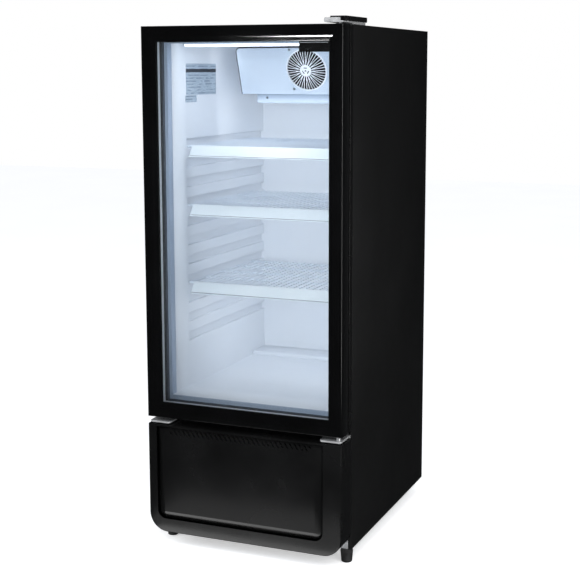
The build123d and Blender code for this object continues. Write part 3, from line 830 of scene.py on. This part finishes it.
def coolerCover():
    bm = bmesh.new()
    top = cover["high"] - cover["drop"]
    topDepth = cover["topDepth"] + cover["drop"] * tan(slopeTurn)
    outline = [(cover["left"], topDepth, top), (cover["left"], cover["lowDepth"], cover["low"]),
               (cover["left"], cover["back"], cover["low"]), (cover["left"], cover["back"], top)]
    addOutline(bm, outline, (cover["right"] - cover["left"], 0, 0))
    bmesh.ops.recalc_face_normals(bm, faces=bm.faces)
    openSide(bm, [face for face in bm.faces if face.normal.y > 0.9])
    line = Vector((cover["left"], 0, top))
    corner = [edge for edge in sharpEdges(bm)
              if all((end.co - line).xz.length < 0.1 for end in edge.verts)]
    roundEdges(bm, corner, cover["corner"], 7)
    rim = [edge for edge in sharpEdges(bm) if any(end.co.x < cover["right"] - 1 for end in edge.verts)]
    roundEdges(bm, rim, cover["edge"], 3)
    piece = finishPiece("coolerCover", bm, "cabinet", "white_plastic", None, ("evaporator_cover",), 32,
                        False)
    addWall(piece, cover["wall"])
    settle(piece)
    bm = bmesh.new()
    bmesh.ops.create_cone(bm, cap_ends=True, segments=56, radius1=cover["fanHole"], radius2=cover["fanHole"],
                          depth=40)
    bm.transform(onSlope(cover["fanX"]))
    near, far = cover["slotDepth"]
    for i in range(cover["slotCount"]):  # return air slots underneath
        x = cover["left"] + cover["slotFirst"] + cover["slotPitch"] * i
        addBlock(bm, (x, near, cover["low"] - 3), (x + cover["slotWide"], far, cover["low"] + 5))
    cutAway(piece, bm)


def coverShadeSeam():  # dark strip along the cover's left and top edges, painted shade for the gap between the cover and the liner
    half = (cover["high"] - cover["low"]) / cos(slopeTurn) / 2
    top = half - cover["drop"] / cos(slopeTurn)
    bend, left = cover["corner"], cover["left"]
    path = [((left, -half), (-1, 0)), ((left, top - bend), (-1, 0))]
    for step in range(1, cover["shadeSeamSteps"]):
        turn = radians(90 * step / cover["shadeSeamSteps"])
        across, rise = -cos(turn), sin(turn)
        path.append(((left + bend + bend * across, top - bend + bend * rise), (across, rise)))
    path += [((left + bend, top), (0, 1)), ((cover["right"], top), (0, 1))]
    (inner, outer), (deep, shallow) = cover["shadeSeam"], cover["shadeSeamDepth"]
    section = [(inner, deep), (outer, deep), (outer, shallow), (inner, shallow)]
    bm = bmesh.new()
    loops = []
    for (x, up), (across, rise) in path:
        loops.append([bm.verts.new((x + across * a, up + rise * a, out)) for a, out in section])
    for first, second in zip(loops, loops[1:]):
        for i in range(4):
            j = (i + 1) % 4
            bm.faces.new((first[i], first[j], second[j], second[i]))
    bm.faces.new(loops[0])
    bm.faces.new(loops[-1])
    bm.transform(onSlope(0))
    finishPiece("coverShadeSeam", bm, "cabinet", "rubber_black")


guard = {"profile": [(67, 0.2), (67, 1.8), (66.2, 2.6), (64.4, 3.0), (63, 4.6), (56, 7.0), (48, 8.6),
                     (40, 9.4), (30, 10.0), (22, 10.2), (17.6, 10.3), (16.6, 11.2), (12, 11.5),
                     (0, 11.6), (0, 10.6), (12, 10.5), (17, 9.4), (30, 9.1), (40, 8.5), (48, 7.7),
                     (56, 6.1), (62.2, 3.7), (63.6, 0.2), (67, 0.2)],
         "steps": 84, "slots": 42, "outer": (63, 3.65), "long": (18.4, 1.75), "short": (32, 0.9),
         "slotBack": -4, "slotDeep": 22, "hubSlot": (11, 3.2), "hubReach": 9.0, "hubHole": 4.2}


def fanGuard():  # domed round grille, long and short wedge slots in turn
    bm = bmesh.new()
    addTurned(bm, guard["profile"], (0, 0, 0), guard["steps"])
    bm.transform(onSlope(cover["fanX"]))
    piece = finishPiece("fanGrille", bm, "cabinet", "white_plastic", finishes["white_liner"],
                        ("fan_guard",), 40)
    bm = bmesh.new()
    far, farHalf = guard["outer"]
    out = guard["slotBack"]
    for i in range(guard["slots"]):
        near, half = guard["short"] if i % 2 else guard["long"]
        outline = [(near, -half, out), (far, -farHalf, out), (far, farHalf, out), (near, half, out)]
        corners, moved = addOutline(bm, outline, (0, 0, guard["slotDeep"]))
        bmesh.ops.rotate(bm, verts=corners + moved, cent=(0, 0, 0),
                         matrix=Matrix.Rotation(2 * pi * (i + 0.5) / guard["slots"], 3, "Z"))
    across, tall = guard["hubSlot"]
    reach = guard["hubReach"]
    for turn in range(3):
        made = addBlock(bm, (-across / 2, reach - tall / 2, 5), (across / 2, reach + tall / 2, 15))
        bmesh.ops.rotate(bm, verts=made, cent=(0, 0, 0), matrix=Matrix.Rotation(radians(120 * turn), 3, "Z"))
    bmesh.ops.create_cone(bm, cap_ends=True, segments=3, radius1=guard["hubHole"],
                          radius2=guard["hubHole"], depth=30)
    bm.transform(onSlope(cover["fanX"]))
    cutAway(piece, bm)


well = {"profile": [(62.8, -0.2), (62.8, -29), (27, -29), (27, -30.2), (64.3, -30.2), (64.3, -2.2),
                    (62.8, -0.2)], "steps": 56}


def fanWell():  # dark ring round the fan, behind the grille
    bm = bmesh.new()
    addTurned(bm, well["profile"], (0, 0, 0), well["steps"])
    bm.transform(onSlope(cover["fanX"]))
    finishPiece("fanWell", bm, "cabinet", "black_plastic")


tray = {"rounding": 4, "wall": 2, "screw": (-113.5, 1344),
        "screwHead": [(0, 1.8), (2.6, 1.6), (4.0, 0.5), (4.2, -0.5), (0, -0.5)],
        "screwSlot": ((-2.6, -0.4, 1.5), (2.6, 0.4, 1.95))}


def dripTray():
    low, high = nodeBox("drip_tray")
    bm = bmesh.new()
    addBlock(bm, low, high)
    openSide(bm, [face for face in bm.faces if min(end.co.z for end in face.verts) > high.z - 0.1])
    roundEdges(bm, sharpEdges(bm), tray["rounding"], 4)
    piece = finishPiece("meltTray", bm, "cabinet", "white_plastic", None, ("drip_tray",), 40, False)
    addWall(piece, tray["wall"])
    bm = bmesh.new()
    addTurned(bm, tray["screwHead"], (0, 0, 0), 20)
    addBlock(bm, *tray["screwSlot"])
    x, z = tray["screw"]
    bm.transform(Matrix.Translation((x, low.y, z)) @ Matrix.Rotation(radians(90), 4, "X"))
    finishPiece("trayScrew", bm, "cabinet", "zinc_screw")


def ceilingLamp():
    softened("light_housing", "cabinet", "white_plastic", 0.8)
    softened("light_diffuser", "cabinet", "diffuser", 1.2, 3)


coolerCover()
coverShadeSeam()
fanGuard()
fanWell()
dripTray()
ceilingLamp()
print("cold air unit built")


# shelves

rail = {"half": 240, "rounding": 0.6, "stripInset": 2, "lineInset": 1,
        "profile": [(178, 0), (155, -31), (153.5, -30), (151, -33), (155, -34), (179, -3), (181.7, -3),
                    (181.7, 0)],
        "strip": [(176.1, -1.9), (155.9, -29.1), (155.5, -28.8), (175.7, -1.6)],
        # two dark strips on the face: a line under the top lip, and a painted shadow along the foot of the
        # face
        "lineAndShadow": [[(175.9, -2.8), (175, -4), (174.7, -3.8), (175.6, -2.6)],
                  [(156.4, -29.1), (155.2, -30.7), (154.9, -30.5), (156.1, -28.9)]]}


def addLength(bm, section, top, inset):  # a section drawn out along the rail
    half = rail["half"] - inset
    return addOutline(bm, [(-half, d, top + up) for d, up in section], (2 * half, 0, 0))


def ticketRails():
    for name in ("upper", "middle", "lower"):
        node, title = "ticket_rail_" + name, name.capitalize()
        top = nodeBox(node)[1].z
        bm = bmesh.new()
        corners, moved = addLength(bm, rail["profile"], top, 0)
        roundEdges(bm, [edge for edge in edgesOf(moved) if any(end in corners for end in edge.verts)],
                   rail["rounding"], 2)
        finishPiece("ticketRail" + title, bm, "cabinet", "white_plastic", railFinish, (node,))
        bm = bmesh.new()
        addLength(bm, rail["strip"], top, rail["stripInset"])
        finishPiece("ticketStrip" + title, bm, "cabinet", "white_plastic", railFinish)
        # dark strips on each rail face; the lower one is a painted shadow
        bm = bmesh.new()
        for line in rail["lineAndShadow"]:
            addLength(bm, line, top, rail["lineInset"])
        finishPiece("ticketLines" + title, bm, "cabinet", "white_plastic", finishes["gasket_grey"])


ticketRails()
print("shelves fitted")


# hinges, feet, labels and small pieces

foot = {"profile": [(0, 0), (14.6, 0), (16, 1.2), (16.2, 3), (18.6, 30), (19, 33), (18.4, 35.4), (17, 36),
                    (17, 44), (12, 44.8), (5, 45), (5, 85), (0, 85)]}


def levellingFeet():
    for node in ("foot_front_left", "foot_front_right", "foot_rear_left", "foot_rear_right"):
        low, high = nodeBox(node)
        spot = ((low.x + high.x) / 2, (low.y + high.y) / 2, 0)
        bm = bmesh.new()
        addTurned(bm, foot["profile"], spot)
        name = node.replace("foot_", "foot").replace("_", "")
        finishPiece(name, bm, "levelling_" + node, "rubber_black", None, (node,), 40)


label = {"corner": 2.5, "thick": 0.4, "sheets": ((176, 378, 1356, 1450), (170, 244, 1334, 1355))}


def wallLabels():
    wall = nodeBox("rating_label")[0].x
    bm = bmesh.new()
    for near, far, low, high in label["sheets"]:
        made = addBlock(bm, (wall, near, low), (wall + label["thick"], far, high))
        roundEdges(bm, crossing(edgesOf(made), 0), label["corner"], 3)
    finishPiece("wallLabels", bm, "cabinet", "label", None, ("rating_label",))


smallLook = [("top_hinge_bracket", "cabinet", "chrome_steel", 0.5, 2),
             ("top_hinge_cover", "cabinet", "black_plastic", 1.6, 3),
             ("bottom_hinge_plate", "cabinet", "chrome_steel", 0.6, 2),
             ("spare_hinge_plate", "cabinet", "chrome_steel", 0.6, 2),
             ("rear_grille", "cabinet", "black_satin", 0.3, 1),
             ("base_pan", "cabinet", "galvanised", 0.5, 1),
             ("thermostat_knob", "thermostat_dial", "black_plastic", 0.8, 2),
             ("light_rocker", "lamp_rocker", "black_plastic", 0.5, 2),
             ("switch_body", "cabinet", "black_plastic", 0.5, 2)]


def smallPieces():
    for row in smallLook:
        softened(*row)


levellingFeet()
wallLabels()
smallPieces()
print("hinges, feet and labels built")


# floor, light and camera

stageLook = {"floor": (1, 1, 1, 1), "dark": tone(0.86), "light": tone(0.9), "rough": (0.6, 0.8),
             "shine": 0.1, "glow": 0.5, "size": 12.0, "drop": 0.0006}


def studioFloor():
    made, start = newMaterial("studioFloor")
    cloud = noise(start, 1.5, 3)
    colour = mixColour(start, cloud, stageLook["dark"], stageLook["light"])
    rough = spread(start, cloud, 0, 1, *stageLook["rough"])
    shader = start.node("BsdfPrincipled", {}, {
        "Base Color": colour, "Roughness": rough, "Specular IOR Level": stageLook["shine"],
        "Emission Color": stageLook["floor"], "Emission Strength": stageLook["glow"]})
    start.node("OutputMaterial", {}, {"Surface": shader})
    bm = bmesh.new()
    bmesh.ops.create_grid(bm, x_segments=8, y_segments=8, size=stageLook["size"])
    bmesh.ops.translate(bm, vec=(0, 0, -stageLook["drop"]), verts=bm.verts)
    mesh = bpy.data.meshes.new("studioFloor")
    bm.to_mesh(mesh)
    bm.free()
    mesh.materials.append(made)
    floor = bpy.data.objects.new("studioFloor", mesh)
    bpy.context.scene.collection.objects.link(floor)
    floor.visible_glossy = False


studio = {"backdrop": (1, 1, 1, 1), "backdropStrength": 1.0, "ambient": (0.92, 0.95, 1.0, 1),
          "ambientStrength": 0.62, "mirrorStrength": 0.03}


def studioWorld():
    world = bpy.data.worlds.new("studio")
    bpy.context.scene.world = world
    world.use_nodes = True
    world.node_tree.nodes.clear()
    start = Wire(world.node_tree)
    seen = start.node("LightPath", output="Is Camera Ray")
    mirrored = start.node("LightPath", output="Is Glossy Ray")
    strength = mirrored * studio["mirrorStrength"] + (1 - mirrored) * studio["ambientStrength"]
    fill = start.node("Background", {}, {0: studio["ambient"], 1: strength})
    plain = start.node("Background", {}, {0: studio["backdrop"], 1: studio["backdropStrength"]})
    start.node("OutputWorld", {}, {"Surface": start.node("MixShader", {}, {0: seen, 1: fill, 2: plain})})


lamps = {
    "keySoftbox": {"at": (2.4, -2.2, 3.0), "aim": (0, 0, 0.9), "size": (1.8, 1.8), "power": 60,
                   "hidden": True},
    "leftSoftbox": {"at": (-2.6, -2.0, 2.4), "aim": (0, 0, 0.8), "size": (1.6, 2.0), "power": 40,
                    "hidden": True},
    "edgeStrip": {"at": (2.6, -1.3, 1.0), "aim": (0.3, -0.4, 1.0), "size": (0.2, 2.2), "power": 15},
    "bevelStrip": {"at": (2.0, -2.0, 1.0), "aim": (-0.3, -0.4, 1.0), "size": (0.1, 2.0), "power": 5},
    "mitreLight": {"at": (-0.4, -0.87, 0.03), "aim": (0.25, -0.39, 1.53), "size": (0.32, 0.2), "power": 0.7,
                   "spread": 24},
    "floorGlow": {"at": (-0.02, -0.62, 0.01), "aim": (-0.02, -0.62, 1), "size": (0.8, 0.26),
                  "power": 0.42},
    "borderGlow": {"at": (0, -0.45, 0.008), "aim": (0, -0.45, 1), "size": (0.7, 0.07), "power": 0.4},
    "cornerFill": {"at": (-0.2, -0.05, 1.43), "aim": (-0.258, 0.12, 1.43), "size": (0.06, 0.1),
                   "power": 0.03, "colour": (0.91, 0.945, 1.0), "hidden": True},
    "sideFill": {"at": (0.25, 0.02, 0.95), "aim": (-0.25, 0.02, 0.95), "size": (0.5, 0.9),
                 "power": 0.55, "colour": (0.91, 0.945, 1.0), "hidden": True},
    "backFill": {"at": (0, -0.02, 1.27), "aim": (0, 0.3, 1.27), "size": (0.42, 0.08), "power": 0.22,
                 "colour": (0.91, 0.945, 1.0), "hidden": True},
    "floorFill": {"at": (0, -0.1, 0.76), "aim": (0, -0.08, 0), "size": (0.44, 0.5), "power": 0.45,
                  "colour": (0.89, 0.94, 1.0), "hidden": True},
    "cabinetLamp": {"at": (0, -0.262, 1.492), "aim": (0, -0.05, 0.4), "size": (0.26, 0.04), "power": 0.52,
                    "colour": (0.92, 0.94, 1.0), "hidden": True},
    "mouthFill": {"at": (0.3, -1.6, 1.2), "aim": (-0.05, 0.5, 0.9), "size": (0.6, 1.0), "power": 23,
                  "colour": (0.905, 0.945, 1.0), "hidden": True},
}


def addLamp(name, look):
    data = bpy.data.lights.new(name, "AREA")
    data.shape = "RECTANGLE"
    data.size, data.size_y = look["size"]
    data.energy = look["power"]
    data.color = look.get("colour", (1, 1, 1))
    data.spread = radians(look.get("spread", 180))
    lamp = bpy.data.objects.new(name, data)
    bpy.context.scene.collection.objects.link(lamp)
    lamp.visible_camera = False
    lamp.visible_glossy = not look.get("hidden", False)
    lamp.location = look["at"]
    aim = Vector(look["aim"]) - Vector(look["at"])
    lamp.rotation_euler = aim.to_track_quat("-Z", "Y").to_euler()


camera = {"at": (1.4866, -3.5486, 1.4339), "yaw": 21.973, "pitch": -8.333, "lens": 76.71, "sensor": 36,
          "shift": (-0.0345, -0.069), "reach": 100}


def addCamera():
    data = bpy.data.cameras.new("camera")
    data.sensor_width = camera["sensor"]
    data.lens = camera["lens"]
    data.shift_x, data.shift_y = camera["shift"]
    data.clip_end = camera["reach"]
    made = bpy.data.objects.new("camera", data)
    bpy.context.scene.collection.objects.link(made)
    made.location = camera["at"]
    made.rotation_euler = (radians(90 + camera["pitch"]), 0, radians(camera["yaw"]))
    bpy.context.scene.camera = made
    bpy.context.scene.view_settings.view_transform = "Standard"


studioFloor()
studioWorld()
for name, look in lamps.items():
    addLamp(name, look)
addCamera()
print("studio set")
